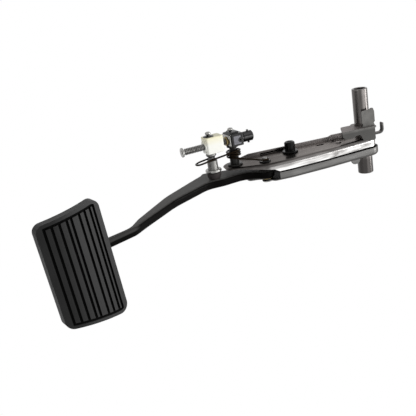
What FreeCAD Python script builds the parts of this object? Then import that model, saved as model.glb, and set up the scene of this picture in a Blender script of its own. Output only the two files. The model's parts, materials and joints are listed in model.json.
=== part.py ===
import FreeCAD, Part
import math
import os

# Power-adjustable brake pedal, modelled as it hangs in the car, in millimetres.
# X points forward, Y along the pivot tube to the left of the car, Z up.
# The origin is the middle of the pivot tube's bore.

os.makedirs("parts", exist_ok=True)
Vector = FreeCAD.Vector

# Clearances
running_clearance = 0.05
seat_clearance = 0.05
face_clearance = 0.3
open_pivot_clearance = 0.8

# Pivot tube
tube_length = 108.0
tube_radius = 9.6
tube_bore_radius = 7.0
tube_edge = 0.6

# Heights along the tube, from the middle plane of the arm
arm_middle = -21.0
arm_thickness = 10.0
sheet = 2.2
upper_face = arm_middle + 15.0
upper_underside = upper_face - sheet
upper_wall_end = arm_middle + 4.0
lower_face = arm_middle - 8.2
lower_inside = lower_face + sheet
lower_wall_end = arm_middle + 2.0
arm_top = arm_middle + arm_thickness / 2
arm_bottom = arm_middle - arm_thickness / 2
screw_height = arm_middle + 45.8

# Stamped bracket halves: corners are x, z and corner radius
bend_radius = 5.5
lower_bend_radius = 4.0
upper_corners = [(21, 11, 12), (-17, 11, 12), (-30, -60, 90), (-36, -108, 60),
                 (-37, -139, 18), (-19, -185, 11), (9, -185, 12), (21, -155, 20)]
lower_corners = [(14.5, 14.5, 14), (-18, 14.5, 14), (-30.5, -60, 90), (-36, -108, 60), (-35.5, -132, 8),
                 (-17, -146, 10), (-14, -160, 6), (0, -160, 8), (14.5, -125, 16)]
far_line = 12.5
wall_start = -125.0
flange_taper = [(wall_start, -6), (wall_start, upper_wall_end - arm_middle), (-131, 7.5),
                (-166, 12.5), (-215, 12.5), (-215, -6)]
lip_height = 4.0
lip_start = -166.0
lip_full = -148.0
lip_end = 2.0
ear_low = -41.0
ear_high = -15.0
ear_height = 5.6
slot_place = (-1.0, -58.5)
slot_length = 10.0
slot_width = 5.0
web_hole_place = (4.0, -39.0)
web_hole_radius = 2.2
dimple_place = (-8.5, -37.5)
dimple_radius = 4.5
dimple_height = 1.4
crease_low_z = -133.0
crease_high_z = -102.0
crease_height = 1.8
crease_depth = 1.2

# Switch bracket beside the tube
tab_sheet = 2.0
shelf_top = arm_middle + 29.0
shelf_low_z = -35.0
shelf_far_low_z = -26.0
shelf_high_z = 10.5
skirt_high_z = 8.2
shelf_near_x = -18.5
shelf_far_x = 8.0
skirt_height = 10.0
skirt_arch = 7.4
target_low_z = -6.5
target_top = arm_middle + 49.5
target_x = -14.5
hook_width = 6.0
hook_reach = 13.6
hook_height = 13.6
hook_rise = 1.6
hook_sheet = 2.5

# Push rod pin
push_pin_place = (-3.5, -98.7)
push_pin_radius = 6.5
push_pin_length = 11.0
push_pin_flange_radius = 9.8
push_pin_flange = 2.4

# Hinge of the arm
hinge_place = (-20.0, -137.0)
hinge_pin_radius = 4.0
bush_radius = 5.6
bush_flange_radius = 7.0
hub_radius = 9.5
boss_radius = 8.0
boss_top = arm_middle + 11.0
hinge_head_radius = 7.0
hinge_head = 1.6
hinge_spigot_radius = 3.2
hinge_spigot = 3.6

# Arm outline, round the hinge hub, down the near edge to the pad and back up the far edge
arm_edge = 3.0
arm_corners = [(-10.5, -127.5, hub_radius), (-29.5, -127.5, hub_radius), (-29.5, -142, 12), (-13, -160, 24),
               (-20.5, -190, 40), (-21.5, -210, 25), (-58, -256.5, 120), (-103, -296, 60), (-119, -309, 22),
               (-166, -386, 4), (-153, -392, 4), (-143, -365, 30), (-115.5, -315.5, 25), (-95, -305, 40),
               (-40, -266, 100), (-3, -229.5, 60), (13, -213, 6), (20.5, -209, 4), (20, -198, 6),
               (13, -172, 20), (-2, -146, 14)]

# Adjuster: housing post, nut post and the screw line between them
housing_place = (-6.5, -170.7)
nut_place = (-11.7, -199.2)
post_stub_radius = 3.5
collar_seat_radius = 6.6
collar_low = arm_top + 8.6
post_stub_top = screw_height - 5.3
block_bottom = screw_height - 8.8
housing_bottom = screw_height - 6.0
screw_radius = 4.0
screw_root_radius = 3.1
screw_lead = 6.0
screw_starts = 3
screw_crest = 0.9
journal_radius = 3.5
thread_start = 8.8
thread_end = 63.0
stop_thickness = 2.0
stop_radius = 5.7
housing_front = 5.5
housing_back = -10.5
housing_height = 15.0
roof_height = 1.8
housing_depth = 24.0
housing_washer_height = 2.2
face_plate = 1.5
plate_margin = 1.2
plate_screw_radius = 1.7
plate_screw_margin = 2.6
collar_radius = 5.7
nut_length = 22.2
nut_depth = 17.0
nut_height = 19.8
nut_front = 13.5
socket_length = 16.5
socket_radius = 6.3
socket_bore_radius = 4.6
socket_bore_depth = 13.0
lug_radius = 1.3
lug_reach = 1.7
lug_place = 11.4
drive_square = 3.4

# Torsion spring on the housing post
wire_radius = 1.1
coil_radius = 8.0
coil_low = arm_middle + 25.7
coil_pitch = 2.7
coil_turns = 3
loop_width = 10.8
loop_reach = 15.0
leg_drop = 5.9
spring_arcs = 28

# Pad
pad_place = (-168.5, arm_middle - 6.0, -365.8)
pad_lean = 21.6
pad_clock = 3.7
pad_width = 66.0
pad_corners = [(-33, -54.5), (32.4, -64.5), (32.4, 59.5), (-33, 53.5)]
pad_corner = 9.0
pad_curve = 95.0
rubber_thickness = 8.2
plate_inset = 2.6
plate_thickness = 2.5
groove_depth = 2.2
groove_width = 2.6
groove_border = 4.6
groove_lines = [-25.4, -18.3, -11.0, -3.7, 0.9, 9.4, 15.5, 21.6, 25.8]


def plan(height):
    """Map plan coordinates x, z to space at one height along the tube."""
    return lambda a, b: Vector(a, height, b)


def side(x):
    """Map z, y to space in a plane square to the car's length."""
    return lambda a, b: Vector(x, b, a)


def rounded_wire(corners, place):
    """Closed wire through corners given as a, b and corner radius."""
    runs = []
    count = len(corners)
    for i in range(count):
        a, b, radius = corners[i]
        before = corners[i - 1]
        after = corners[(i + 1) % count]
        here = Vector(a, b, 0)
        back = (Vector(before[0], before[1], 0) - here).normalize()
        ahead = (Vector(after[0], after[1], 0) - here).normalize()
        if radius <= 0:
            runs.append((here, None, here))
            continue
        half = back.getAngle(ahead) / 2
        reach = radius / math.tan(half)
        middle = (back + ahead).normalize() * (radius / math.sin(half) - radius)
        runs.append((here + back * reach, here + middle, here + ahead * reach))
    edges = []
    for i in range(count):
        start, middle, end = runs[i]
        if middle is not None:
            arc = Part.Arc(place(start.x, start.y), place(middle.x, middle.y), place(end.x, end.y))
            edges.append(arc.toShape())
        following = runs[(i + 1) % count][0]
        if (following - end).Length > 1e-6:
            edges.append(Part.makeLine(place(end.x, end.y), place(following.x, following.y)))
    return Part.Wire(edges)


def sharp(points):
    return [(a, b, 0) for a, b in points]


def slab(corners, low, high):
    """Plate with an outline in plan, between two heights along the tube."""
    return Part.Face(rounded_wire(corners, plan(low))).extrude(Vector(0, high - low, 0))


def turned(profile, centre):
    """Solid of revolution about an axis along the tube; profile is radius, height."""
    x, z = centre
    points = [Vector(x + r, y, z) for r, y in profile]
    face = Part.Face(Part.makePolygon(points + [points[0]]))
    return face.revolve(Vector(x, 0, z), Vector(0, 1, 0), 360)


def round_bar(centre, radius, low, high):
    return Part.makeCylinder(radius, high - low, Vector(centre[0], low, centre[1]), Vector(0, 1, 0))


def framed(origin, first, second, third):
    """Placement whose local axes are the three given directions."""
    matrix = FreeCAD.Matrix(first.x, second.x, third.x, origin.x, first.y, second.y, third.y, origin.y,
                            first.z, second.z, third.z, origin.z, 0, 0, 0, 1)
    return FreeCAD.Placement(matrix)


def placed(shape, placement):
    shape = shape.copy()
    shape.Placement = placement.multiply(shape.Placement)
    return shape


def level_edges(shape, height):
    """Edges that lie wholly at one height along the tube."""
    return [e for e in shape.Edges if all(abs(v.Y - height) < 1e-6 for v in e.Vertexes)
            and abs(e.CenterOfMass.y - height) < 1e-6]


def save(name, shape):
    solids = shape.Solids
    if len(solids) != 1 or not shape.isValid():
        raise ValueError("%s has %d solids, valid %s" % (name, len(solids), shape.isValid()))
    solids[0].exportStep("parts/%s.step" % name)


def pressed(corners, web, rim, radius):
    """Solid envelope of a pressing: outline in plan with the edge at the web rounded."""
    outer = slab(corners, web, rim)
    return outer.makeFillet(radius, level_edges(outer, web))


def tray(corners, web, rim, radius):
    """Pressed tray: flat web, bend of the given outer radius and a wall to the rim."""
    inward = 1 if rim < web else -1
    floor = web - inward * sheet
    face = Part.Face(rounded_wire(corners, plan(floor))).makeOffset2D(-sheet)
    inner = face.extrude(Vector(0, rim - inward - floor, 0))
    inner = inner.makeFillet(radius - sheet, level_edges(inner, floor))
    return pressed(corners, web, rim, radius).cut(inner)


def make_upper_bracket():
    """Upper pressing: near wall with a tapering flange, creased far lip, tube and pin holes, a dimple."""
    shell = tray(upper_corners, upper_face, upper_wall_end, bend_radius)
    shell = shell.cut(Part.makeBox(40, 60, 260, Vector(far_line, upper_wall_end - 10, -215)))
    taper = rounded_wire(sharp([(z, arm_middle + y) for z, y in flange_taper]), side(-60))
    shell = shell.cut(Part.Face(taper).extrude(Vector(120, 0, 0)))
    rise = upper_face + lip_height
    crest = upper_face + ear_height
    lip = rounded_wire([(lip_start, upper_underside, 0), (lip_end, upper_underside, 0), (lip_end, rise, 3),
                        (ear_high, rise, 5), (ear_high - 4, crest, 7), (ear_low + 4, crest, 7),
                        (ear_low, rise, 5), (lip_full, rise, 6), (lip_start, upper_face - 0.4, 0)],
                       side(far_line - 0.01))
    lip = Part.Face(lip).extrude(Vector(sheet + 0.01, 0, 0))
    shell = shell.fuse(lip).removeSplitter()
    holes = [((0, 0), tube_radius), (push_pin_place, push_pin_radius), (hinge_place, hinge_pin_radius),
             (housing_place, post_stub_radius)]
    for centre, radius in holes:
        shell = shell.cut(round_bar(centre, radius + seat_clearance, upper_wall_end - 5, crest + 5))
    x, z = slot_place
    r = slot_width / 2 - 0.01
    w = slot_width / 2
    h = slot_length / 2
    outline = [(x - w, z - h, r), (x + w, z - h, r), (x + w, z + h, r), (x - w, z + h, r)]
    shell = shell.cut(slab(outline, upper_underside - 1, upper_face + 1))
    shell = shell.cut(round_bar(web_hole_place, web_hole_radius, upper_underside - 1, upper_face + 1))
    shell = shell.cut(Part.makeBox(crease_depth + 1, crease_height, crease_high_z - crease_low_z,
                                   Vector(far_line - 1, upper_face + 0.2, crease_low_z)))
    rim = dimple_radius
    dome = turned([(0, upper_underside), (rim, upper_underside), (rim, upper_face),
                   (rim * 0.6, upper_face + dimple_height), (0, upper_face + dimple_height)], dimple_place)
    return shell.fuse(dome).removeSplitter()


def make_lower_bracket():
    """Lower pressing, a shallow tray with its wall cut away where the arm leaves it."""
    shell = tray(lower_corners, lower_face, lower_wall_end, lower_bend_radius)
    shell = shell.cut(Part.makeBox(120, 60, 100, Vector(-60, lower_inside, wall_start - 100)))
    holes = [((0, 0), tube_radius), (push_pin_place, push_pin_radius), (hinge_place, hinge_pin_radius)]
    for centre, radius in holes:
        shell = shell.cut(round_bar(centre, radius + seat_clearance, lower_face - 5, lower_wall_end + 5))
    return shell


def make_pivot_tube():
    end = tube_length / 2
    rim = end - tube_edge
    bore = tube_bore_radius
    wall = tube_radius
    return turned([(bore, -rim), (bore + tube_edge, -end), (wall - tube_edge, -end), (wall, -rim),
                   (wall, rim), (wall - tube_edge, end), (bore + tube_edge, end), (bore, rim)], (0, 0))


def make_switch_bracket():
    """Folded tab: shelf round the tube, wavy skirt down to the bracket and an upright target plate."""
    low = target_low_z
    high = shelf_high_z
    shelf = slab([(shelf_near_x, shelf_low_z, 2), (shelf_far_x, shelf_far_low_z, 4), (shelf_far_x, -13, 3),
                  (13.5, -9, 5), (13.5, high, 4), (shelf_near_x, high, 2)], shelf_top - tab_sheet, shelf_top)
    shelf = shelf.cut(round_bar((0, 0), tube_radius + seat_clearance, shelf_top - 5, shelf_top + 5))
    hem = shelf_top - skirt_height
    arch = shelf_top - skirt_arch
    foot = upper_face - 3.2
    end = skirt_high_z
    skirt = rounded_wire([(shelf_low_z, shelf_top, 1.5), (end, shelf_top, 1.5), (end, foot, 2),
                          (-7, foot, 1.5), (-11.5, arch, 3), (-16, arch, 3), (-22, hem, 5), (-29, hem, 3),
                          (shelf_low_z, hem + 3.5, 4)], side(shelf_near_x))
    skirt = Part.Face(skirt).extrude(Vector(tab_sheet, 0, 0))
    skirt = skirt.cut(pressed(upper_corners, upper_face, upper_wall_end, bend_radius))
    root = shelf_top - tab_sheet / 2
    neck = shelf_top + 3.6
    waist = shelf_top + 5
    target = rounded_wire([(low, root, 0), (low + 1.6, neck, 1), (low, waist, 1), (low, target_top, 2.5),
                           (high - 6, target_top, 2), (high - 4, target_top + 1.4, 1.5),
                           (high - 1.4, target_top + 1.4, 1), (high, target_top - 3, 3), (high, waist, 1),
                           (high - 1.6, neck, 1), (high, root, 0)], side(target_x))
    target = Part.Face(target).extrude(Vector(tab_sheet, 0, 0))
    end_wall = Part.makeBox(9.5, shelf_top - upper_face - 1.5, tab_sheet,
                            Vector(shelf_near_x + 1, upper_face + 1.5, end - tab_sheet))
    return shelf.fuse([target, end_wall, skirt]).removeSplitter()


def make_hook_tab():
    """J-shaped strip that holds the return spring, standing off the end of the switch bracket."""
    z = skirt_high_z
    y = upper_face + hook_rise
    t = hook_sheet
    bend = 3.2
    outer = z + hook_reach
    tip = y + hook_height
    path = [(z, y, 0), (outer, y, bend + t), (outer, tip, 1.2), (outer - t, tip, 1.0),
            (outer - t, y + t, bend), (z, y + t, 0)]
    return Part.Face(rounded_wire(path, side(shelf_near_x + 4))).extrude(Vector(hook_width, 0, 0))


def make_stop_tab():
    """Small rounded tab under the lower pressing, beside the tube."""
    y = lower_face
    wire = rounded_wire([(-24, y, 0), (-23, y - 8, 5), (-12.5, y - 8, 5), (-11.5, y, 0)], side(-12.5))
    return Part.Face(wire).extrude(Vector(sheet, 0, 0))


def make_push_rod_pin():
    """Pin through both pressings, flanged on the upper one, for the booster's push rod."""
    base = lower_face - 2
    seat = upper_face + push_pin_flange
    top = seat + push_pin_length
    r = push_pin_radius
    rim = push_pin_flange_radius
    return turned([(0, base), (r - 0.8, base), (r, base + 0.8), (r, upper_face), (rim - 0.5, upper_face),
                   (rim, upper_face + 0.5), (rim, seat - 0.5), (rim - 0.5, seat), (r, seat), (r, top - 1.2),
                   (r - 1.2, top), (0, top)], push_pin_place)


def make_hinge_pin():
    """Headed pin through both pressings, with a spigot for the spring's hook."""
    y = upper_face + hinge_head
    top = y + hinge_spigot
    r = hinge_pin_radius
    head = hinge_head_radius
    spigot = hinge_spigot_radius
    end = lower_face - 0.6
    return turned([(0, end), (r, end), (r, upper_face), (head, upper_face), (head, y - 0.8), (head - 0.8, y),
                   (spigot, y), (spigot, top - 0.6), (spigot - 0.6, top), (0, top)], hinge_place)


def make_hinge_pin_cap():
    y = lower_face
    r = hinge_pin_radius + seat_clearance
    return turned([(r, y), (6.2, y), (6.2, y - 0.8), (5.4, y - 1.6), (r, y - 1.6)], hinge_place)


def make_hinge_bush(flange_face, inner_face, end):
    """Flanged bush in the arm's hub, its flange between two heights."""
    r = hinge_pin_radius + running_clearance
    return turned([(r, flange_face), (bush_flange_radius, flange_face), (bush_flange_radius, inner_face),
                   (bush_radius, inner_face), (bush_radius, end), (r, end)], hinge_place)


def screw_direction():
    line = Vector(nut_place[0] - housing_place[0], 0, nut_place[1] - housing_place[1])
    return line.normalize()


along = screw_direction()
upward = Vector(0, 1, 0)
screw_start = Vector(housing_place[0], screw_height, housing_place[1])
screw_frame = framed(screw_start, along, upward, along.cross(upward))


def screw_turned(profile):
    """Solid of revolution about the screw line; profile is distance from the housing post, radius."""
    points = [Vector(u, r, 0) for u, r in profile]
    face = Part.Face(Part.makePolygon(points + [points[0]]))
    return placed(face.revolve(Vector(0, 0, 0), Vector(1, 0, 0), 360), screw_frame)


def screw_box(start, end, low, high, depth, corner):
    """Block on the screw line with its upright edges rounded."""
    block = Part.makeBox(end - start, high - low, depth, Vector(start, low, -depth / 2))
    upright = [e for e in block.Edges if abs(e.Vertexes[0].Y - e.Vertexes[1].Y) > 1]
    return block.makeFillet(corner, upright)


def make_lead_screw():
    """Adjuster screw: plain journal in the housing and trapezoid thread ridges outside it."""
    profile = [(housing_back - 1.0, 0), (housing_back - 1.0, journal_radius), (thread_start, journal_radius)]
    pitch = screw_lead / screw_starts
    count = int((thread_end - thread_start - 1) / pitch)
    start = thread_start
    profile.append((start, screw_root_radius))
    flank = (pitch - screw_crest) / 2
    for i in range(count):
        u = start + 0.6 + i * pitch
        crest = u + flank
        end = crest + screw_crest * 0.6
        profile += [(u, screw_root_radius), (crest, screw_radius), (end, screw_radius)]
        profile.append((end + flank, screw_root_radius))
    profile += [(thread_end, screw_root_radius), (thread_end, 0)]
    return screw_turned(profile)


def make_screw_end_stop():
    r = screw_root_radius
    back = thread_end + stop_thickness
    return screw_turned([(thread_end, 0), (thread_end, stop_radius - 0.5), (thread_end + 0.5, stop_radius),
                         (back, stop_radius), (back, r), (back + 0.8, r - 0.6), (back + 0.8, 0)])


def make_drive_coupler():
    """Square-holed socket that the flexible drive cable turns."""
    start = housing_back - 1.0
    end = housing_back - 9.0
    body = screw_turned([(start, 0), (start, journal_radius), (end, journal_radius), (end, 0)])
    s = drive_square
    hole = placed(Part.makeBox(7, s, s, Vector(end - 1, -s / 2, -s / 2)), screw_frame)
    return body.cut(hole)


def make_drive_housing():
    low = housing_bottom - screw_height
    top = low + housing_height
    block = screw_box(housing_back, housing_front, low, top, housing_depth, 1.6)
    block = block.makeFillet(1.0, level_edges(block, top))
    roof = Part.makeBox(11.4, roof_height + 0.2, 13, Vector(housing_back + 3.2, top - 0.2, -6.5))
    roof = roof.makeChamfer(0.9, level_edges(roof, top + roof_height))
    block = block.fuse(roof)
    pocket = Part.makeCylinder(1.0, 3, Vector(housing_back + 4, 0.8, -housing_depth / 2 - 1), Vector(0, 0, 1))
    block = placed(block.cut(pocket), screw_frame)
    bore = screw_turned([(housing_back - 1, 0), (housing_back - 1, journal_radius + running_clearance),
                         (housing_front + 1, journal_radius + running_clearance), (housing_front + 1, 0)])
    r = post_stub_radius + running_clearance
    seat = round_bar(housing_place, r, housing_bottom - 1, post_stub_top + 0.5)
    return block.cut(bore).cut(seat)


def make_housing_face_plate():
    """End plate with a raised rim and two screw heads either side of the collar."""
    low = housing_bottom - screw_height + plate_margin
    top = low + housing_height - 2 * plate_margin
    depth = housing_depth - 2 * plate_margin
    forward = Vector(1, 0, 0)
    plate = screw_box(housing_front, housing_front + face_plate, low, top, depth, 0.7)
    out = depth / 2 - plate_screw_margin
    for y, z in ((low + plate_screw_margin, out), (top - plate_screw_margin, -out)):
        head = Part.makeCylinder(plate_screw_radius, face_plate + 1.1, Vector(housing_front, y, z), forward)
        plate = plate.fuse(head)
    bore = journal_radius + face_clearance
    hole = Part.makeCylinder(bore, face_plate + 2, Vector(housing_front - 1, 0, 0), forward)
    return placed(plate.cut(hole), screw_frame)


def make_thrust_collar():
    r = journal_radius + running_clearance
    start = housing_front + face_plate
    return screw_turned([(start, r), (start, collar_radius), (thread_start - 0.6, collar_radius),
                         (thread_start, collar_radius - 0.8), (thread_start, r)])


def make_cable_socket():
    """Round bayonet socket for the drive cable, with two lugs and a stepped mouth."""
    start = housing_back
    end = start - socket_length
    r = socket_radius
    b = socket_bore_radius
    deep = end + socket_bore_depth
    shaft = journal_radius + face_clearance
    neck = r - 0.6
    body = screw_turned([(start, shaft), (start, r), (start - 2, r), (start - 2.4, neck), (start - 3.6, neck),
                         (start - 4, r), (end + 0.8, r), (end, r - 0.8), (end, b + 0.5), (end + 0.5, b),
                         (deep, b), (deep, shaft)])
    for sign in (1, -1):
        root = Vector(start - lug_place, sign * (b + 0.5), 0)
        lug = Part.makeCylinder(lug_radius, r - b + lug_reach - 0.5, root, Vector(0, sign, 0))
        body = body.fuse(placed(lug, screw_frame))
    return body.removeSplitter()


def make_retainer(centre, low, shank, head):
    """Bright rounded head of a retaining screw, standing on a block."""
    return turned([(0, low), (shank, low), (shank, low + 0.9), (head, low + 1.5), (head, low + 2.8),
                   (head - 0.6, low + 3.7), (head - 1.7, low + 4.2), (0, low + 4.2)], centre)


def make_nut_washer():
    top = block_bottom + nut_height
    return turned([(0, top), (6.3, top), (6.3, top + 0.7), (3.6, top + 1.6), (0, top + 1.6)], nut_place)


def make_lead_nut():
    """Moulded nut: block with a stepped foot, bored for the screw and, from below, for the nut post."""
    low = block_bottom - screw_height
    top = low + nut_height
    block = screw_box(nut_front, nut_front + nut_length, low, top, nut_depth, 2.2)
    block = block.makeFillet(0.9, level_edges(block, top) + level_edges(block, low))
    mouth = Part.makeCylinder(7.2, 1.0, Vector(nut_front + nut_length, 0, 0), Vector(1, 0, 0))
    block = placed(block.fuse(mouth), screw_frame)
    r = screw_radius + running_clearance
    end = nut_front + nut_length + 2
    bore = screw_turned([(nut_front - 1, 0), (nut_front - 1, r), (end, r), (end, 0)])
    pivot = post_stub_radius + open_pivot_clearance
    seat = round_bar(nut_place, pivot, block_bottom - 1, post_stub_top + 0.4)
    return block.cut(bore).cut(seat)


def make_housing_post():
    """Turned post that carries the drive housing and the coil of the spring."""
    y = upper_face
    shoulder = housing_bottom - housing_washer_height
    stub = post_stub_radius
    return turned([(0, upper_underside), (stub, upper_underside), (stub, y), (9.4, y), (9.4, y + 1.4),
                   (8.2, y + 2.4), (5.6, y + 2.4), (5.6, y + 17.4), (4.4, y + 18.2), (4.4, shoulder),
                   (stub, shoulder), (stub, post_stub_top), (0, post_stub_top)], housing_place)


def make_housing_washer():
    r = post_stub_radius + seat_clearance
    y = housing_bottom - face_clearance
    low = housing_bottom - housing_washer_height
    return turned([(r, low), (7.2, low), (7.2, y - 0.4), (6.8, y), (r, y)], housing_place)


def make_nut_post():
    """Turned post on the arm that carries the nut, with a neck for the spring's leg."""
    y = arm_top
    flange = block_bottom - face_clearance
    stub = post_stub_radius
    seat = collar_seat_radius
    return turned([(0, y), (6.6, y), (8.5, y + 4.6), (8.5, collar_low - 0.6), (seat, collar_low - 0.2),
                   (seat, collar_low + 3.8), (6.2, collar_low + 4.6), (6.2, y + 22.6), (5.6, y + 23.2),
                   (4.1, y + 23.6), (4.1, y + 27), (6.2, flange - 2.6), (6.2, flange - 0.5), (5.7, flange),
                   (stub, flange), (stub, post_stub_top), (0, post_stub_top)], nut_place)


def make_nut_post_collar():
    y = collar_low
    r = collar_seat_radius + seat_clearance
    return turned([(r, y), (8.8, y), (9.8, y + 0.8), (9.8, y + 2.6), (9, y + 3.6), (r, y + 3.6)], nut_place)


def make_pedal_arm():
    """Cranked flat arm: wide head with hinge hub, tapering and bending to the pad."""
    arm = slab(arm_corners, arm_bottom, arm_top)
    arm = arm.makeFillet(arm_edge, level_edges(arm, arm_top) + level_edges(arm, arm_bottom))
    arm = arm.fuse(round_bar(hinge_place, boss_radius, arm_top - 3, boss_top))
    arm = arm.cut(round_bar(hinge_place, bush_radius + seat_clearance, arm_bottom - 5, boss_top + 5))
    return arm.cut(pad_block())


lean = math.radians(pad_lean)
clock = math.radians(pad_clock)
pad_out = Vector(-math.cos(lean), 0, math.sin(lean))
pad_up = Vector(math.sin(lean), 0, math.cos(lean)) * math.cos(clock) + Vector(0, 1, 0) * math.sin(clock)
pad_across = pad_out.cross(pad_up)
pad_frame = framed(Vector(*pad_place), pad_up, pad_across, pad_out)


def pad_slab(front, back, first, last):
    """Curved strip of the pad between two depths behind its crown, cut to a band across it."""
    reach = 80.0
    angle = 0.62
    centre = Vector(0, -reach, -pad_curve)

    def arc(depth):
        r = pad_curve - depth
        ends = [centre + Vector(math.sin(a) * r, 0, math.cos(a) * r) for a in (-angle, 0, angle)]
        return Part.Arc(*ends).toShape(), ends[0], ends[2]

    outer, a, b = arc(front)
    inner, c, d = arc(back)
    ring = Part.Face(Part.Wire([outer, Part.makeLine(b, d), inner, Part.makeLine(c, a)]))
    strip = ring.extrude(Vector(0, 2 * reach, 0))
    band = Part.makeBox(last - first, 2 * reach, 120, Vector(first, -reach, -60))
    return strip.common(band)


def pad_outline(inset):
    """Upright prism with the pad's outline, moved in by the inset."""
    corners = [(u, v, pad_corner) for u, v in pad_corners]
    face = Part.Face(rounded_wire(corners, lambda u, v: Vector(u, v, -60)))
    if inset > 0:
        face = face.makeOffset2D(-inset)
    return face.extrude(Vector(0, 0, 120))


pad_back = rubber_thickness + plate_thickness


def pad_block():
    """Everything the pad and its plate fill, used to trim the arm's end."""
    h = pad_width / 2
    return placed(pad_slab(-5, pad_back, -h, h), pad_frame)


def make_pad_rubber():
    """Rubber cover: curved body with grooves moulded into its face, wrapped over the steel plate's edge."""
    h = pad_width / 2
    g = groove_width / 2
    rubber = pad_slab(0, pad_back - 0.7, -h, h).common(pad_outline(0))
    field = pad_outline(groove_border)
    for u in groove_lines:
        rubber = rubber.cut(pad_slab(-1, groove_depth, u - g, u + g).common(field))
    ends = pad_outline(groove_border - g).cut(pad_outline(groove_border + g))
    ends = pad_slab(-1, groove_depth, groove_lines[0] - g, groove_lines[-1] + g).common(ends)
    pocket = pad_slab(rubber_thickness, pad_back + 5, -h, h).common(pad_outline(plate_inset - seat_clearance))
    return placed(rubber.cut(ends).cut(pocket), pad_frame)


def make_pad_plate():
    h = pad_width / 2
    plate = pad_slab(rubber_thickness, pad_back, -h, h).common(pad_outline(plate_inset))
    return placed(plate, pad_frame)


def make_torsion_spring():
    """Wire spring: hook round the hinge pin, coil on the housing post, long loop round the nut post."""
    centre = Vector(housing_place[0], 0, housing_place[1])
    hinge = Vector(hinge_place[0], 0, hinge_place[1])
    reach = (Vector(nut_place[0], 0, nut_place[1]) - centre).Length
    to_hinge = (hinge - centre).normalize()

    def about(middle, radius, degrees, height):
        a = math.radians(degrees)
        return middle + Vector(radius * math.cos(a), height, radius * math.sin(a))

    def beside(u, w, height):
        return centre + along * u + along.cross(upward) * w + Vector(0, height, 0)

    first = math.degrees(math.atan2(-to_hinge.x, to_hinge.z)) + 180
    last = math.degrees(math.atan2(-along.x, along.z)) + 360 * coil_turns
    level = upper_face + hinge_head + wire_radius + face_clearance
    hook = hinge_spigot_radius + wire_radius + face_clearance
    points = [about(hinge, hook, d, level) for d in range(20, 201, 36)]
    start = about(centre, coil_radius, first, coil_low)
    points += [points[-1] + (start - points[-1]) * part for part in (0.3, 0.55, 0.8)]
    steps = int((last - first) / 30)
    for i in range(steps + 1):
        turn = i * (last - first) / steps
        points.append(about(centre, coil_radius, first + turn, coil_low + turn / 360 * coil_pitch))
    height = points[-1].y
    half = loop_width / 2
    tip = reach + loop_reach

    def leg(u, w):
        return beside(u, w, height - leg_drop * u / tip)

    points += [leg(u, w) for u, w in ((9, 0.4 - coil_radius), (reach - 8, -half - 1), (reach, -half),
                                      (reach + loop_reach / 2, -half), (tip, -half))]
    for degrees in (45, 90, 135):
        a = math.radians(degrees)
        points.append(leg(tip + half * math.sin(a), -half * math.cos(a)))
    points += [leg(reach + u, half) for u in (loop_reach, loop_reach * 0.55, 1.0)]
    curve = Part.BSplineCurve()
    curve.interpolate(points)
    first = curve.FirstParameter
    span = (curve.LastParameter - first) / (2 * spring_arcs)
    marks = [curve.value(first + i * span) for i in range(2 * spring_arcs + 1)]
    spine = Part.Wire([Part.Arc(*marks[2 * i:2 * i + 3]).toShape() for i in range(spring_arcs)])
    ring = Part.makeCircle(wire_radius, points[0], curve.tangent(first)[0])
    return spine.makePipe(Part.Face(Part.Wire(ring)))


save("pivot_tube", make_pivot_tube())
save("upper_bracket", make_upper_bracket())
save("lower_bracket", make_lower_bracket())
save("switch_bracket", make_switch_bracket())
save("hook_tab", make_hook_tab())
save("stop_tab", make_stop_tab())
save("push_rod_pin", make_push_rod_pin())
save("hinge_pin", make_hinge_pin())
save("hinge_pin_cap", make_hinge_pin_cap())
save("hinge_bush_upper", make_hinge_bush(upper_underside - face_clearance, boss_top, boss_top - 6))
save("hinge_bush_lower", make_hinge_bush(lower_inside + face_clearance, arm_bottom, arm_bottom + 6))
save("pedal_arm", make_pedal_arm())
save("pad_plate", make_pad_plate())
save("pad_rubber", make_pad_rubber())
save("nut_post", make_nut_post())
save("nut_post_collar", make_nut_post_collar())
save("lead_nut", make_lead_nut())
save("lead_screw", make_lead_screw())
save("screw_end_stop", make_screw_end_stop())
save("drive_coupler", make_drive_coupler())
save("drive_housing", make_drive_housing())
save("housing_face_plate", make_housing_face_plate())
save("thrust_collar", make_thrust_collar())
save("cable_socket", make_cable_socket())
save("housing_post", make_housing_post())
save("housing_washer", make_housing_washer())
save("housing_clip", make_retainer(housing_place, housing_bottom + housing_height + roof_height, 2.0, 3.4))
save("nut_washer", make_nut_washer())
save("nut_retainer", make_retainer(nut_place, block_bottom + nut_height + 1.6, 2.0, 3.4))
save("torsion_spring", make_torsion_spring())
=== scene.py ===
import json
import math

import bmesh
import bpy
from bpy.props import FloatProperty, FloatVectorProperty, PointerProperty
from mathutils import Matrix, Vector


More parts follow.
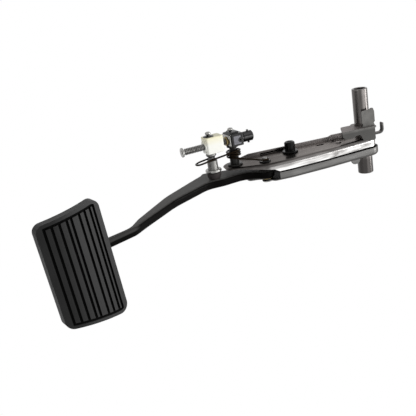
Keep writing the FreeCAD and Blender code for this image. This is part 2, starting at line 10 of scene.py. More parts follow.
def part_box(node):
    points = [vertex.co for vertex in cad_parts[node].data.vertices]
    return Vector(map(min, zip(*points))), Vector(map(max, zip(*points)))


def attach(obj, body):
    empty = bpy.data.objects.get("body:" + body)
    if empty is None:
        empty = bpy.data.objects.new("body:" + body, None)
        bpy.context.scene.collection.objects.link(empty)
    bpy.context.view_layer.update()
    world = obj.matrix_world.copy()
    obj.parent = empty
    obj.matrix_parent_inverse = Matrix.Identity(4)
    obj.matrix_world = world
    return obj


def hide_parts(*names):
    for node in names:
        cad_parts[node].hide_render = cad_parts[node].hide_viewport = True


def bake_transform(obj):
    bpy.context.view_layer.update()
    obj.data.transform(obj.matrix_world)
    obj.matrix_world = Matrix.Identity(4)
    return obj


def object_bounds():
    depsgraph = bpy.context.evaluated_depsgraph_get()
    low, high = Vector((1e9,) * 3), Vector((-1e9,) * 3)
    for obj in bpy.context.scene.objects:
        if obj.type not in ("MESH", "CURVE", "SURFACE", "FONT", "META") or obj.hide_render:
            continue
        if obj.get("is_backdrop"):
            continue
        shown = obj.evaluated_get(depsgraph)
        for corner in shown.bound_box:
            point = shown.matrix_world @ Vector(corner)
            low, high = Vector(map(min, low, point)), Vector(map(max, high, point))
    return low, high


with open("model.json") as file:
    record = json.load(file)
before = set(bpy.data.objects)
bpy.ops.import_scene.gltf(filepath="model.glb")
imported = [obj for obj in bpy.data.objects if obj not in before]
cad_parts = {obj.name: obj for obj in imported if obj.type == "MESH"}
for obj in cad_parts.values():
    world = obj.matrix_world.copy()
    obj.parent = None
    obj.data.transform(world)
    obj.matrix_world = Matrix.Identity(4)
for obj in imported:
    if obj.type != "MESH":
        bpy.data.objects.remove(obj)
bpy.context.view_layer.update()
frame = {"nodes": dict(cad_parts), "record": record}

bl_info = {
    "name": "Brake pedal",
    "version": (1, 0, 0),
    "blender": (4, 5, 0),
    "location": "View3D > Sidebar > Pedal",
    "description": "Dresses the packed brake pedal and sets its stage",
    "category": "Object",
}

BODY_OF = {node: body for body, nodes in frame["record"]["behaviour"]["bodies"].items() for node in nodes}
SLOT_OF = {part["node"]: part["material_slot"] for part in frame["record"]["subparts"]}

# Mesh cleaning: distance for one point, and the angles of flat, rounded and sharp-shaded edges
SAME_POINT = 2e-6
FLAT = math.radians(0.6)
ROUNDED_FROM = math.radians(32)
SHARP_FROM = math.radians(34)

# Material places on the pressings: painted shade in slots and creases, and painted shade on the inside faces
SLOT_SHADE = 1
INSIDE_SHADE = 2

# Drawn streaks run along the part, and along the tube
ALONG_PART = (1, 1, 0.03)
ALONG_TUBE = (1, 0.08, 1)

# Ramps of the layered finishes: what is read, its axis, where the ramp starts and where it is full
WEB_FACE = ("Normal", "Y", 0.5, 0.9)
# Painted shade: the web's top face is darkened towards its left end, by the hinge
WEB_LEFT_END = ("Object", "Z", -0.095, -0.13)
# Painted reflection: the far lip's inner side is lighter than the rest of the pressing
LIP_FACE = ("Normal", "X", -0.4, -0.8)
LIP_SIDE = ("Object", "X", 0.004, 0.008)
# Painted highlight on the near wall: brighter towards its foot and its right end, broken into streaks
WALL_FACE = ("Normal", "X", -0.4, -0.9)
WALL_SIDE = ("Object", "X", -0.009, -0.014)
WALL_FOOT = ("Object", "Y", -0.0075, -0.0135)
WALL_RIGHT = ("Object", "Z", -0.148, -0.126)
STREAKS = ("Patches", "", 1.0, 0.3)
# Painted shade: the tube darkens towards its lower end
TUBE_FOOT = ("Object", "Y", -0.03, -0.036)
# Painted shade: the tabs darken towards their lower edge
TAB_FOOT = ("Object", "Y", 0.0065, 0.0045)
# Painted light: faces of the tabs that look up are lighter
TAB_TOP = ("Normal", "Y", 0.6, 0.9)
# Painted sheen: the arm's broad top and bottom faces are lightened in colour
ARM_TOP = ("Normal", "Y", 0.6, 0.98)
ARM_BACK = ("Normal", "Y", -0.6, -0.98)
# Painted sheen: the upper half of the arm's near face, next to the pad, is lightened in colour
ARM_NEAR_FACE = ("Normal", "X", -0.2, -0.6)
ARM_UPPER_HALF = ("Object", "Y", -0.0205, -0.0195)
ARM_BY_PAD = ("Object", "Z", -0.304, -0.311)
# Painted sheen: the pad's face is lighter towards its high-Z side
PAD_FACE = ("Normal", "X", -0.6, -0.8)
PAD_SHEEN_SIDE = ("Object", "Z", -0.385, -0.365)
NUT_TOP = ("Object", "Y", 0.026, 0.035)

# Lamps: place, what each looks at, width and height in metres, watts
LAMPS = {
    "key": ((-0.35, 0.85, 0.3), "part", (0.7, 0.5), 1.2),
    "front_box": ((-0.78, -0.15, 0.36), "bracket", (0.75, 0.65), 2.0),
    "strip": ((-0.75, 0.02, 0.46), "bracket", (0.07, 0.5), 1.3),
    "side_strip": ((-0.4, 0.02, 0.82), "bracket", (0.2, 0.7), 6.0),
    "tube_strip": ((-0.19, -0.12, 0.47), "tube", (0.13, 0.2), 0.8),
    "fill": ((-0.5, 0.25, -0.85), "bracket", (0.5, 0.5), 2.9),
    "rim": ((0.6, 0.5, 0.5), "part", (0.6, 0.6), 0.8),
}


def colour(name, words, default):
    return FloatVectorProperty(name=name, description=words, subtype="COLOR", size=3, min=0, max=1,
                               default=default)


def length(name, words, default):
    return FloatProperty(name=name, description=words, default=default, unit="LENGTH", precision=5)


class PedalFinish(bpy.types.PropertyGroup):
    """Colours of the pedal's finishes, with the painted light and shade laid over some of them."""

    bracket: colour("Bracket", "Phosphated sheet steel", (0.13, 0.121, 0.117))
    # Darker patches in the phosphate for the mottle; also the colour of the painted shade at the web's left end
    # and inside the pressings
    bracket_stain_and_shade: colour("Bracket stains", "Darker patches in the phosphate", (0.04, 0.036, 0.034))
    # Painted highlight: bright colour standing in for the lamp's reflection along the near wall
    wall_highlight: colour("Burnished wall", "Near wall, rubbed bright by the press tool", (0.5, 0.496, 0.488))
    graze: colour("Bracket at a flat angle", "Tint of what it mirrors there", (0.87, 0.838, 0.822))
    # Painted reflection: lighter steel on the inner side of the far lip
    lip: colour("Far lip", "Duller inner side of the far lip", (0.22, 0.205, 0.2))
    # Painted light: lighter steel on the upward faces of the tabs
    tab_top_light: colour("Shelf", "Rubbed top of the tabs", (0.165, 0.149, 0.145))
    tab: colour("Tabs", "Matt plated strip", (0.1, 0.098, 0.094))
    tube: colour("Tube", "Drawn tube, darker than the pressings", (0.145, 0.135, 0.13))
    tray: colour("Tray", "Lower pressing, duller than the upper one", (0.118, 0.116, 0.113))
    # Painted shade: black where slots, holes and creases fall into shade
    seam: colour("Seam", "Black sealer in slots and creases", (0.002, 0.002, 0.002))
    arm: colour("Arm", "Satin black coating", (0.003, 0.0028, 0.0025))
    # Painted sheen: grey standing in for the glancing reflection on the arm's broad faces
    arm_sheen: colour("Arm, worn", "Coating rubbed grey on the broad sides", (0.09, 0.088, 0.085))
    plate: colour("Pad plate", "Satin black coating of the plate behind the pad", (0.02, 0.02, 0.02))
    # Darker colour for the foot of the nut post, under its collar
    post_foot: colour("Dull steel", "Unpolished foot of the nut post", (0.028, 0.024, 0.023))
    rubber: colour("Pad", "Moulded rubber", (0.018, 0.018, 0.018))
    # Painted sheen: lighter rubber on one side of the pad's face
    rubber_sheen: colour("Worn pad", "Rubber where the foot treads", (0.036, 0.036, 0.036))
    # Painted shade: near black for the walls and floors of the grooves
    groove_shade: colour("Grooves", "Unworn rubber in the grooves", (0.0015, 0.0015, 0.0015))
    bright: colour("Bright steel", "Turned posts and screw heads", (0.36, 0.355, 0.34))
    dark: colour("Dark steel", "Oiled post and screw", (0.018, 0.017, 0.016))
    black: colour("Black steel", "Gloss black pin", (0.003, 0.003, 0.003))
    bronze: colour("Bronze", "Sintered bushes and thrust collar", (0.3, 0.235, 0.11))
    nylon: colour("Nut", "Natural moulded nylon", (0.86, 0.86, 0.8))
    nylon_aged: colour("Nut, aged", "Yellowed nylon near the top", (0.84, 0.8, 0.58))
    casting: colour("Housing", "Black cast drive housing", (0.008, 0.008, 0.008))
    panel: colour("Housing panel", "Bare side of the drive housing", (0.115, 0.115, 0.126))
    socket: colour("Socket", "Gloss black moulding", (0.003, 0.003, 0.0032))
    wire: colour("Spring", "Oil-tempered wire", (0.016, 0.011, 0.007))


class PedalEdges(bpy.types.PropertyGroup):
    """Sizes of the rounded edges."""

    sheet: length("Sheet edge", "Rounding of cut sheet edges", 0.0005)
    arm: length("Arm edge", "Rounding of the arm's outer edges", 0.0015)
    turned: length("Turned edge", "Rounding of turned pieces", 0.0003)
    moulded: length("Moulded edge", "Rounding of mouldings", 0.0006)
    rubber: length("Rubber edge", "Rounding of the pad's grooves", 0.0004)


class PedalPad(bpy.types.PropertyGroup):
    """Where the pad's curved face lies, to find its grooves."""

    place: FloatVectorProperty(name="Crown", description="Middle of the pad's face", subtype="TRANSLATION",
                               default=(-0.1685, -0.027, -0.3658), precision=5)
    lean: FloatProperty(name="Lean", description="Degrees the face looks upward", default=21.6)
    clock: FloatProperty(name="Clock", description="Degrees the pad turns in its own plane", default=3.7)
    curve: length("Curve", "Radius of the face", 0.095)
    field: length("Field", "Half height of the grooved field", 0.0285)
    # Depth below the face at which the grooves' painted shade starts
    shade_depth: length("Worn depth", "Depth at which the grooves' own finish starts", 0.0005)
    deep: length("Groove depth", "Just over the depth of the grooves", 0.0025)


class PedalStage(bpy.types.PropertyGroup):
    """Camera, lamps and floor."""

    place: FloatVectorProperty(name="Camera place", description="Where the camera stands", precision=5,
                               subtype="TRANSLATION", default=(-0.74672, 0.20625, -0.34304))
    forward: FloatVectorProperty(name="Camera direction", description="Where it looks", subtype="DIRECTION",
                                 default=(0.93115, -0.32557, 0.16419), precision=5)
    upright: FloatVectorProperty(name="Camera upright", description="Up in the picture", subtype="DIRECTION",
                                 default=(0.28756, 0.93255, 0.21830), precision=5)
    lens: FloatProperty(name="Lens", description="Focal length in millimetres", default=56.25)
    floor_drop: length("Floor drop", "Gap between the pad's lowest edge and the floor", 0.15)
    floor_reach: length("Floor reach", "Half the width of the floor", 0.27)
    daylight: FloatProperty(name="Daylight", description="Strength of the soft light all round", default=0.32)


def node_group(name, inputs, outputs):
    """Empty shader node group with float or vector inputs and float outputs."""
    group = bpy.data.node_groups.new(name, "ShaderNodeTree")
    for label, default in inputs:
        kind = "NodeSocketVector" if isinstance(default, tuple) else "NodeSocketFloat"
        socket = group.interface.new_socket(label, in_out="INPUT", socket_type=kind)
        socket.default_value = default
    for label in outputs:
        group.interface.new_socket(label, in_out="OUTPUT", socket_type="NodeSocketFloat")
    return group, group.nodes.new("NodeGroupInput"), group.nodes.new("NodeGroupOutput")


def patches_group():
    """Cloudy patches between 0 and 1, and a fine grain for bumps, on object coordinates."""
    group, given, result = node_group("patches", [("Scale", 60.0), ("Contrast", 1.0), ("Grain", 900.0),
                                                  ("Stretch", (1.0, 1.0, 1.0))], ["Patches", "Height"])
    place = group.nodes.new("ShaderNodeTexCoord")
    cloud = group.nodes.new("ShaderNodeTexNoise")
    cloud.inputs["Detail"].default_value = 6
    cloud.inputs["Roughness"].default_value = 0.6
    fine = group.nodes.new("ShaderNodeTexNoise")
    fine.inputs["Detail"].default_value = 3
    spread = group.nodes.new("ShaderNodeMath")
    spread.operation = "MULTIPLY_ADD"
    spread.inputs[2].default_value = 0.5
    centre = group.nodes.new("ShaderNodeMath")
    centre.operation = "SUBTRACT"
    centre.inputs[1].default_value = 0.5
    clamp = group.nodes.new("ShaderNodeClamp")
    drawn = group.nodes.new("ShaderNodeVectorMath")
    drawn.operation = "MULTIPLY"
    link = group.links.new
    link(place.outputs["Object"], drawn.inputs[0])
    link(given.outputs["Stretch"], drawn.inputs[1])
    link(drawn.outputs[0], cloud.inputs["Vector"])
    link(given.outputs["Scale"], cloud.inputs["Scale"])
    link(cloud.outputs["Fac"], centre.inputs[0])
    link(centre.outputs[0], spread.inputs[0])
    link(given.outputs["Contrast"], spread.inputs[1])
    link(spread.outputs[0], clamp.inputs["Value"])
    link(clamp.outputs[0], result.inputs["Patches"])
    link(place.outputs["Object"], fine.inputs["Vector"])
    link(given.outputs["Grain"], fine.inputs["Scale"])
    link(fine.outputs["Fac"], result.inputs["Height"])
    return group


def plain(name, base, metallic, roughness, specular=0.5):
    material = bpy.data.materials.new("pedal_" + name)
    material.use_nodes = True
    shader = material.node_tree.nodes["Principled BSDF"]
    shader.inputs["Base Color"].default_value = (*base, 1)
    shader.inputs["Metallic"].default_value = metallic
    shader.inputs["Roughness"].default_value = roughness
    shader.inputs["Specular IOR Level"].default_value = specular
    return material


def mottled(name, base, other, metallic, rough, scale, contrast, grain=900.0, bump=0.0, specular=0.5,
            stretch=(1, 1, 1)):
    """Finish whose colour and roughness wander between two values over the surface."""
    material = plain(name, base, metallic, rough[0], specular)
    tree = material.node_tree
    shader = tree.nodes["Principled BSDF"]
    group = bpy.data.node_groups.get("patches") or patches_group()
    patch = tree.nodes.new("ShaderNodeGroup")
    patch.name = "patches"
    patch.node_tree = group
    patch.inputs["Scale"].default_value = scale
    patch.inputs["Contrast"].default_value = contrast
    patch.inputs["Grain"].default_value = grain
    patch.inputs["Stretch"].default_value = stretch
    mix = tree.nodes.new("ShaderNodeMix")
    mix.data_type = "RGBA"
    mix.inputs["A"].default_value = (*base, 1)
    mix.inputs["B"].default_value = (*other, 1)
    tree.links.new(patch.outputs["Patches"], mix.inputs["Factor"])
    tree.links.new(mix.outputs["Result"], shader.inputs["Base Color"])
    level = tree.nodes.new("ShaderNodeMapRange")
    level.inputs["To Min"].default_value = rough[0]
    level.inputs["To Max"].default_value = rough[1]
    tree.links.new(patch.outputs["Patches"], level.inputs["Value"])
    tree.links.new(level.outputs["Result"], shader.inputs["Roughness"])
    if bump > 0:
        dent = tree.nodes.new("ShaderNodeBump")
        dent.inputs["Strength"].default_value = bump
        dent.inputs["Distance"].default_value = 0.0004
        tree.links.new(patch.outputs["Height"], dent.inputs["Height"])
        tree.links.new(dent.outputs["Normal"], shader.inputs["Normal"])
    return material


def layered(material, colour_there, *ramps):
    """Lays another colour over a finish where all ramps, on place, facing or patches, have risen."""
    tree = material.node_tree
    shader = tree.nodes["Principled BSDF"]
    over = tree.nodes.new("ShaderNodeMix")
    over.data_type = "RGBA"
    over.inputs["A"].default_value = shader.inputs["Base Color"].default_value
    over.inputs["B"].default_value = (*colour_there, 1)
    if shader.inputs["Base Color"].is_linked:
        tree.links.new(shader.inputs["Base Color"].links[0].from_socket, over.inputs["A"])
    giver = tree.nodes.new("ShaderNodeTexCoord")
    share = None
    for source, axis, start, end in ramps:
        level = tree.nodes.new("ShaderNodeMapRange")
        level.inputs["From Min"].default_value = start
        level.inputs["From Max"].default_value = end
        if source == "Patches":
            tree.links.new(tree.nodes["patches"].outputs["Patches"], level.inputs["Value"])
        else:
            split = tree.nodes.new("ShaderNodeSeparateXYZ")
            tree.links.new(giver.outputs[source], split.inputs[0])
            tree.links.new(split.outputs[axis], level.inputs["Value"])
        both = level.outputs["Result"]
        if share:
            times = tree.nodes.new("ShaderNodeMath")
            times.operation = "MULTIPLY"
            tree.links.new(share, times.inputs[0])
            tree.links.new(both, times.inputs[1])
            both = times.outputs[0]
        share = both
    tree.links.new(share, over.inputs["Factor"])
    tree.links.new(over.outputs["Result"], shader.inputs["Base Color"])


def grazed(material, tint):
    """Tints what a metal mirrors at a flat angle."""
    material.node_tree.nodes["Principled BSDF"].inputs["Specular Tint"].default_value = (*tint, 1)


def darker(base, share):
    return tuple(c * share for c in base)


def finishes(scene):
    """Makes the pedal's materials, once, each named after its slot."""
    if "pedal_bracket_steel" in bpy.data.materials:
        return
    c = scene.pedal_finish
    web = mottled("bracket_steel", c.bracket, c.bracket_stain_and_shade, 1.0, (0.2, 0.34), 260, 2.0, stretch=ALONG_PART)
    # Painted shade on the web's top face towards its left end
    layered(web, darker(c.bracket_stain_and_shade, 0.5), WEB_FACE, WEB_LEFT_END)
    # Painted reflection on the inner side of the far lip
    layered(web, c.lip, LIP_FACE, LIP_SIDE)
    # Painted highlight on the near wall
    layered(web, c.wall_highlight, WALL_FACE, WALL_SIDE, WALL_FOOT, WALL_RIGHT, STREAKS)
    grazed(web, c.graze)
    # Painted shade: very dark, rough steel for the faces inside the pressings
    mottled("inside_shade", darker(c.bracket_stain_and_shade, 0.3), darker(c.bracket_stain_and_shade, 0.1), 1.0, (0.55, 0.7), 40,
            2.0)
    tube = mottled("tube_steel", c.tube, darker(c.tube, 0.5), 1.0, (0.17, 0.27), 260, 2.4, grain=160,
                   bump=0.02, stretch=ALONG_TUBE)
    # Painted shade towards the lower end of the tube
    layered(tube, darker(c.tube, 0.42), TUBE_FOOT)
    tray = mottled("tray_steel", c.tray, darker(c.tray, 0.5), 1.0, (0.3, 0.44), 260, 2.0, stretch=ALONG_PART)
    grazed(tray, darker(c.graze, 0.85))
    tabs = mottled("tab_steel", c.tab, darker(c.tab, 0.6), 1.0, (0.5, 0.65), 70, 1.6, grain=300, bump=0.06)
    # Painted shade towards the lower edge of the tabs
    layered(tabs, darker(c.tab, 0.5), TAB_FOOT)
    # Painted light on the upward faces of the tabs
    layered(tabs, c.tab_top_light, TAB_TOP)
    # Painted shade for slots, holes and creases
    plain("seam", c.seam, 0.0, 0.8, specular=0.02)
    arm = mottled("arm_paint", c.arm, darker(c.arm, 0.7), 0.0, (0.24, 0.34), 70, 1.2, grain=1400, bump=0.05,
                  specular=0.02)
    # Painted sheen on the arm's top and bottom faces
    layered(arm, c.arm_sheen, ARM_TOP)
    layered(arm, c.arm_sheen, ARM_BACK)
    # Painted sheen on the upper half of the arm's near face, next to the pad
    layered(arm, darker(c.arm_sheen, 0.5), ARM_NEAR_FACE, ARM_UPPER_HALF, ARM_BY_PAD)
    mottled("plate_paint", c.plate, darker(c.plate, 0.6), 0.0, (0.3, 0.42), 60, 1.5, grain=1400, bump=0.05,
            specular=0.25)
    pad = mottled("pad_rubber", c.rubber, darker(c.rubber, 0.6), 0.0, (0.38, 0.52), 50, 1.8, grain=2200,
                  bump=0.12, specular=0.13)
    # Painted sheen on one side of the pad's face
    layered(pad, c.rubber_sheen, PAD_SHEEN_SIDE, PAD_FACE)
    # Painted shade in the pad's grooves
    plain("pad_groove_shade", c.groove_shade, 0.0, 0.7, specular=0.05)
    mottled("bright_steel", c.bright, darker(c.bright, 0.5), 1.0, (0.18, 0.32), 120, 1.5)
    mottled("post_steel", darker(c.bright, 0.6), darker(c.bright, 0.25), 1.0, (0.3, 0.45), 120, 1.8)
    # Darker finish for the foot of the nut post, under its collar
    plain("post_foot_steel", c.post_foot, 0.3, 0.6, specular=0.2)
    mottled("dark_steel", c.dark, darker(c.dark, 0.5), 0.4, (0.25, 0.4), 150, 1.4, specular=0.15)
    mottled("screw_steel", darker(c.bright, 0.75), c.dark, 1.0, (0.22, 0.36), 160, 1.4)
    plain("black_steel", c.black, 0.0, 0.14, specular=0.09)
    mottled("bush_bronze", c.bronze, darker(c.bronze, 0.5), 1.0, (0.25, 0.4), 180, 1.6)
    nut = plain("nut_plastic", c.nylon, 0.0, 0.4)
    layered(nut, c.nylon_aged, NUT_TOP)
    plain("housing_metal", c.casting, 0.0, 0.22, specular=0.2)
    mottled("housing_panel", c.panel, darker(c.panel, 0.6), 0.8, (0.4, 0.55), 260, 1.6, grain=1500, bump=0.3)
    plain("socket_plastic", c.socket, 0.0, 0.14, specular=0.32)
    mottled("spring_steel", c.wire, darker(c.wire, 0.4), 1.0, (0.25, 0.4), 140, 1.6)


def rounded(scene, node, width, segments=2, shape=None, looks=(), before=None):
    """Copy of a CAD node with its sharp edges rounded, standing in for the node on its body."""
    bm = bmesh.new()
    bm.from_mesh(frame["nodes"][node].data)
    bmesh.ops.remove_doubles(bm, verts=bm.verts, dist=SAME_POINT)
    bmesh.ops.dissolve_limit(bm, angle_limit=FLAT, verts=bm.verts, edges=bm.edges)
    if before:
        before(bm)
    bevelled(bm, sharp_edges(bm), width, segments)
    if shape:
        shape(bm)
    finished(scene, bm, node + "_shown", node, BODY_OF[node], looks or (SLOT_OF[node],))


def sharp_edges(bm):
    return [e for e in bm.edges if len(e.link_faces) == 2 and e.calc_face_angle() > ROUNDED_FROM]


def bevelled(bm, edges, width, segments):
    bmesh.ops.bevel(bm, geom=edges, offset=width, offset_type="OFFSET", segments=segments, profile=0.5,
                    affect="EDGES", clamp_overlap=True, material=-1)


def finished(scene, bm, name, node, body, looks):
    """Mesh piece made from a bmesh, smooth-shaded, riding on its body."""
    mesh = bpy.data.meshes.new(name)
    bm.to_mesh(mesh)
    bm.free()
    mesh.shade_smooth()
    mesh.set_sharp_from_angle(angle=SHARP_FROM)
    finishes(scene)
    for label in looks:
        mesh.materials.append(bpy.data.materials["pedal_" + label])
    piece = bpy.data.objects.new(name, mesh)
    scene.collection.objects.link(piece)
    flat = piece.modifiers.new("flat_faces", "WEIGHTED_NORMAL")
    flat.weight = 100
    flat.keep_sharp = True
    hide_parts(node)
    if body:
        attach(piece, body)
    return piece


class PEDAL_OT_bracket(bpy.types.Operator):
    """Pressings, tube, tabs and pins that stay with the pedal box"""

    bl_idname = "pedal.bracket"
    bl_label = "Bracket"

    def execute(self, context):
        edges = context.scene.pedal_edges
        rounded(context.scene, "stop_tab", edges.sheet, 2, None, ("tray_steel",))
        for node in ("switch_bracket", "hook_tab"):
            rounded(context.scene, node, edges.sheet)
        rounded(context.scene, "upper_bracket", edges.sheet, 2, mark_slot_shade,
                ("bracket_steel", "seam", "inside_shade"))
        rounded(context.scene, "lower_bracket", edges.sheet, 2, mark_inside_shade,
                ("tray_steel", "seam", "inside_shade"))
        rounded(context.scene, "pivot_tube", edges.turned, 2, None, ("tube_steel",))
        rounded(context.scene, "push_rod_pin", edges.turned, 2, centre_drilled)
        rounded(context.scene, "hinge_pin", edges.turned, 2, bare_spigot, ("black_steel", "post_steel"))
        for node in ("hinge_pin_cap", "housing_post", "housing_washer"):
            rounded(context.scene, node, edges.turned)
        return {"FINISHED"}


def within(face, low, high):
    """Whether a face's middle lies in a box given in millimetres."""
    place = face.calc_center_median() * 1000
    return all(a < v < b for a, v, b in zip(low, place, high))


def mark_inside_shade(bm):
    """Painted shade: darker, rougher steel on the faces of the pressings that look into the box they form."""
    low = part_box("lower_bracket")[0][1]
    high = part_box("upper_bracket")[1][1]
    floor = 0.0018
    roof = 0.006
    lean = 0.08
    for face in bm.faces:
        place = face.calc_center_median()
        inward = Vector((0.001 + place.z * lean - place.x, (low + high) / 2 - place.y, 0))
        walled = low + floor < place.y < high - roof
        if walled and face.normal.dot(inward.normalized()) > 0.3:
            face.material_index = INSIDE_SHADE


def mark_slot_shade(bm):
    """Painted shade: black in the web's slot and hole and in the crease of the far lip, over the painted shade
    inside.
    """
    mark_inside_shade(bm)
    slot = (-5, -8.1, -65), (3, -6.05, -52)
    hole = (1, -8.1, -42), (7, -6.05, -36)
    crease = (12.6, -6, -134), (14.2, -3.8, -101)
    for face in bm.faces:
        if abs(face.normal.y) < 0.7 and any(within(face, *box) for box in (slot, hole, crease)):
            face.material_index = SLOT_SHADE


def centre_drilled(bm):
    """Shallow centre hole in the end of a turned pin."""
    top = max(bm.faces, key=lambda f: f.calc_center_median().y if f.normal.y > 0.99 else -1)
    rim = 0.0022
    deep = 0.0012
    bmesh.ops.inset_individual(bm, faces=[top], thickness=rim, depth=-deep, use_even_offset=True)


def bare_spigot(bm):
    """Bare steel on the part of the hinge pin that stands above its head."""
    spigot = 0.0037
    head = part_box("hinge_pin")[1][1] - spigot
    for face in bm.faces:
        if face.calc_center_median().y > head:
            face.material_index = 1


class PEDAL_OT_arm(bpy.types.Operator):
    """Cranked arm with its bushes and the post that carries the nut"""

    bl_idname = "pedal.arm"
    bl_label = "Arm"

    def execute(self, context):
        edges = context.scene.pedal_edges
        rounded(context.scene, "pedal_arm", edges.sheet, before=soft_outline)
        for node in ("hinge_bush_upper", "hinge_bush_lower"):
            rounded(context.scene, node, edges.turned)
        rounded(context.scene, "nut_post_collar", edges.turned, 2, None, ("bright_steel",))
        rounded(context.scene, "nut_post", edges.turned, 2, dark_foot, ("post_steel", "post_foot_steel"))
        return {"FINISHED"}


def soft_outline(bm):
    """Wide rounding of the arm's outer edges, away from its bores."""
    bores = [middle(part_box(node)) for node in ("hinge_pin", "nut_post")]
    margin = 0.0085

    def clear(edge):
        place = (edge.verts[0].co + edge.verts[1].co) / 2
        return all(math.hypot(place.x - b.x, place.z - b.z) > margin for b in bores)

    bevelled(bm, [e for e in sharp_edges(bm) if clear(e)], bpy.context.scene.pedal_edges.arm, 3)


def dark_foot(bm):
    """Darker finish on the foot of the nut post, under its collar."""
    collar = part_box("nut_post_collar")[0][1]
    for face in bm.faces:
        if face.calc_center_median().y < collar:
            face.material_index = 1


class PEDAL_OT_pad(bpy.types.Operator):
    """Ribbed rubber pad on its steel plate"""

    bl_idname = "pedal.pad"
    bl_label = "Pad"

    def execute(self, context):
        edges = context.scene.pedal_edges
        rounded(context.scene, "pad_plate", edges.sheet, 2, None, ("plate_paint",))
        rounded(context.scene, "pad_rubber", edges.rubber, 2, dark_grooves, ("pad_rubber", "pad_groove_shade"))
        return {"FINISHED"}


def dark_grooves(bm):
    """Gives the walls and floors of the grooves their painted shade."""
    shape = bpy.context.scene.pedal_pad
    lean = math.radians(shape.lean)
    clock = math.radians(shape.clock)
    out = Vector((-math.cos(lean), 0, math.sin(lean)))
    up = Vector((math.sin(lean), 0, math.cos(lean))) * math.cos(clock) + Vector((0, math.sin(clock), 0))
    across = out.cross(up)
    for face in bm.faces:
        place = face.calc_center_median() - Vector(shape.place)
        height = place.dot(up)
        depth = shape.curve - math.hypot(height, place.dot(out) + shape.curve)
        inside = abs(height) < shape.field and abs(face.normal.dot(across)) < 0.5
        if inside and shape.shade_depth < depth < shape.deep:
            face.material_index = 1


class PEDAL_OT_adjuster(bpy.types.Operator):
    """Drive housing, screw and nut of the reach adjuster"""

    bl_idname = "pedal.adjuster"
    bl_label = "Adjuster"

    def execute(self, context):
        edges = context.scene.pedal_edges
        for node in ("lead_nut", "cable_socket"):
            rounded(context.scene, node, edges.moulded)
        rounded(context.scene, "drive_housing", edges.moulded, 2, bare_panels,
                ("housing_metal", "housing_panel"))
        for node in ("lead_screw", "screw_end_stop", "drive_coupler", "housing_face_plate", "thrust_collar",
                     "housing_clip", "nut_washer", "nut_retainer"):
            rounded(context.scene, node, edges.turned / 3 if node == "lead_screw" else edges.turned)
        return {"FINISHED"}


def bare_panels(bm):
    """Bare metal panels sunk a little into the two broad sides of the housing."""
    side = Vector((0.98376, 0, -0.17949))
    rim = 0.0018
    deep = 0.0002
    small = 2e-6
    for sign in (1, -1):
        broad = [f for f in bm.faces if f.normal.dot(side) * sign > 0.999 and f.calc_area() > small]
        bmesh.ops.inset_region(bm, faces=broad, thickness=rim, depth=-deep, use_boundary=True,
                               use_even_offset=True)
        for face in broad:
            face.material_index = 1


class PEDAL_OT_spring(bpy.types.Operator):
    """Torsion spring whose long leg follows the arm"""

    bl_idname = "pedal.spring"
    bl_label = "Spring"

    def execute(self, context):
        bm = bmesh.new()
        bm.from_mesh(frame["nodes"]["torsion_spring"].data)
        bmesh.ops.remove_doubles(bm, verts=bm.verts, dist=SAME_POINT)
        piece = finished(context.scene, bm, "torsion_spring_shown", "torsion_spring", None, ("spring_steel",))
        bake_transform(piece)
        return {"FINISHED"}


def middle(box):
    return (Vector(box[0]) + Vector(box[1])) / 2


class PEDAL_OT_stage(bpy.types.Operator):
    """Floor, lamps, world and camera"""

    bl_idname = "pedal.stage"
    bl_label = "Stage"

    def execute(self, context):
        scene = context.scene
        stage = scene.pedal_stage
        make_floor(scene, stage)
        make_world(scene, stage)
        aims = {"part": middle(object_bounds()), "bracket": Vector((0, 0, -0.05)), "tube": Vector((0, 0.02, 0))}
        for name, (place, aim, size, watts) in LAMPS.items():
            lamp(scene, name, place, aims[aim], size, watts)
        make_camera(scene, stage)
        scene.view_settings.view_transform = "Standard"
        return {"FINISHED"}


def make_floor(scene, stage):
    low = Vector(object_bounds()[0])
    centre = middle(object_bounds())
    bm = bmesh.new()
    bmesh.ops.create_grid(bm, x_segments=1, y_segments=1, size=stage.floor_reach)
    bmesh.ops.translate(bm, verts=bm.verts, vec=(centre.x, centre.y, low.z - stage.floor_drop))
    mesh = bpy.data.meshes.new("floor")
    bm.to_mesh(mesh)
    bm.free()
    mesh.materials.append(plain("floor_paint", (0.86, 0.86, 0.86), 0, 0.8))
    floor = bpy.data.objects.new("floor", mesh)
    scene.collection.objects.link(floor)
    floor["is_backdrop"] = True


def make_world(scene, stage):
    """White to the eye and in reflections, softer as light."""
    world = bpy.data.worlds.new("studio")
    scene.world = world
    world.use_nodes = True
    tree = world.node_tree
    sky = tree.nodes["Background"]
    path = tree.nodes.new("ShaderNodeLightPath")
    seen = tree.nodes.new("ShaderNodeMath")
    seen.operation = "MAXIMUM"
    through = tree.nodes.new("ShaderNodeMath")
    through.operation = "MAXIMUM"
    level = tree.nodes.new("ShaderNodeMapRange")
    level.inputs["To Min"].default_value = stage.daylight
    level.inputs["To Max"].default_value = 1.0
    tree.links.new(path.outputs["Is Camera Ray"], seen.inputs[0])
    tree.links.new(path.outputs["Is Glossy Ray"], seen.inputs[1])
    tree.links.new(seen.outputs[0], through.inputs[0])
    tree.links.new(path.outputs["Is Transmission Ray"], through.inputs[1])
    tree.links.new(through.outputs[0], level.inputs["Value"])
    tree.links.new(level.outputs["Result"], sky.inputs["Strength"])
    sky.inputs["Color"].default_value = (1, 1, 1, 1)


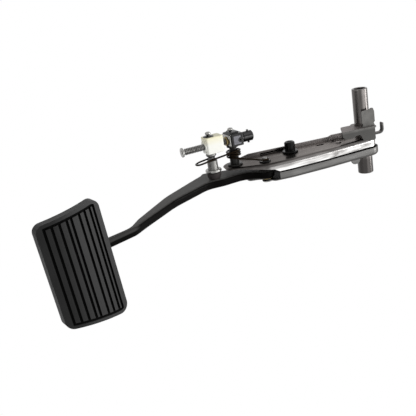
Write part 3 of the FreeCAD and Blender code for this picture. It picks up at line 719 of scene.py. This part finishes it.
def lamp(scene, name, place, aim, size, watts):
    light = bpy.data.lights.new(name, "AREA")
    light.shape = "RECTANGLE"
    light.size, light.size_y = size
    light.energy = watts
    carrier = bpy.data.objects.new(name, light)
    carrier.location = place
    carrier.rotation_mode = "QUATERNION"
    carrier.rotation_quaternion = (aim - Vector(place)).to_track_quat("-Z", "Y")
    scene.collection.objects.link(carrier)


def make_camera(scene, stage):
    camera = bpy.data.cameras.new("camera")
    camera.lens = stage.lens
    camera.sensor_width = 36
    camera.clip_start = 0.01
    carrier = bpy.data.objects.new("camera", camera)
    forward = Vector(stage.forward).normalized()
    right = forward.cross(Vector(stage.upright)).normalized()
    turn = Matrix((right, right.cross(forward), -forward)).transposed()
    carrier.matrix_world = Matrix.Translation(Vector(stage.place)) @ turn.to_4x4()
    scene.collection.objects.link(carrier)
    scene.camera = carrier


OPERATORS = (PEDAL_OT_bracket, PEDAL_OT_arm, PEDAL_OT_pad, PEDAL_OT_adjuster, PEDAL_OT_spring,
             PEDAL_OT_stage)


class PEDAL_PT_sidebar(bpy.types.Panel):
    """Lists the pedal's pieces and stage"""

    bl_idname = "PEDAL_PT_sidebar"
    bl_label = "Brake pedal"
    bl_space_type = "VIEW_3D"
    bl_region_type = "UI"
    bl_category = "Pedal"

    def draw(self, context):
        for operator in OPERATORS:
            self.layout.operator(operator.bl_idname)


GROUPS = {"pedal_finish": PedalFinish, "pedal_edges": PedalEdges, "pedal_pad": PedalPad,
          "pedal_stage": PedalStage}


def register():
    for kind in (*GROUPS.values(), *OPERATORS, PEDAL_PT_sidebar):
        bpy.utils.register_class(kind)
    for name, kind in GROUPS.items():
        setattr(bpy.types.Scene, name, PointerProperty(type=kind))


def unregister():
    for name in GROUPS:
        delattr(bpy.types.Scene, name)
    for kind in reversed((*GROUPS.values(), *OPERATORS, PEDAL_PT_sidebar)):
        bpy.utils.unregister_class(kind)


def main():
    register()
    bpy.ops.pedal.bracket()
    bpy.ops.pedal.arm()
    bpy.ops.pedal.pad()
    bpy.ops.pedal.adjuster()
    bpy.ops.pedal.spring()
    bpy.ops.pedal.stage()


if __name__ == "__main__":
    main()
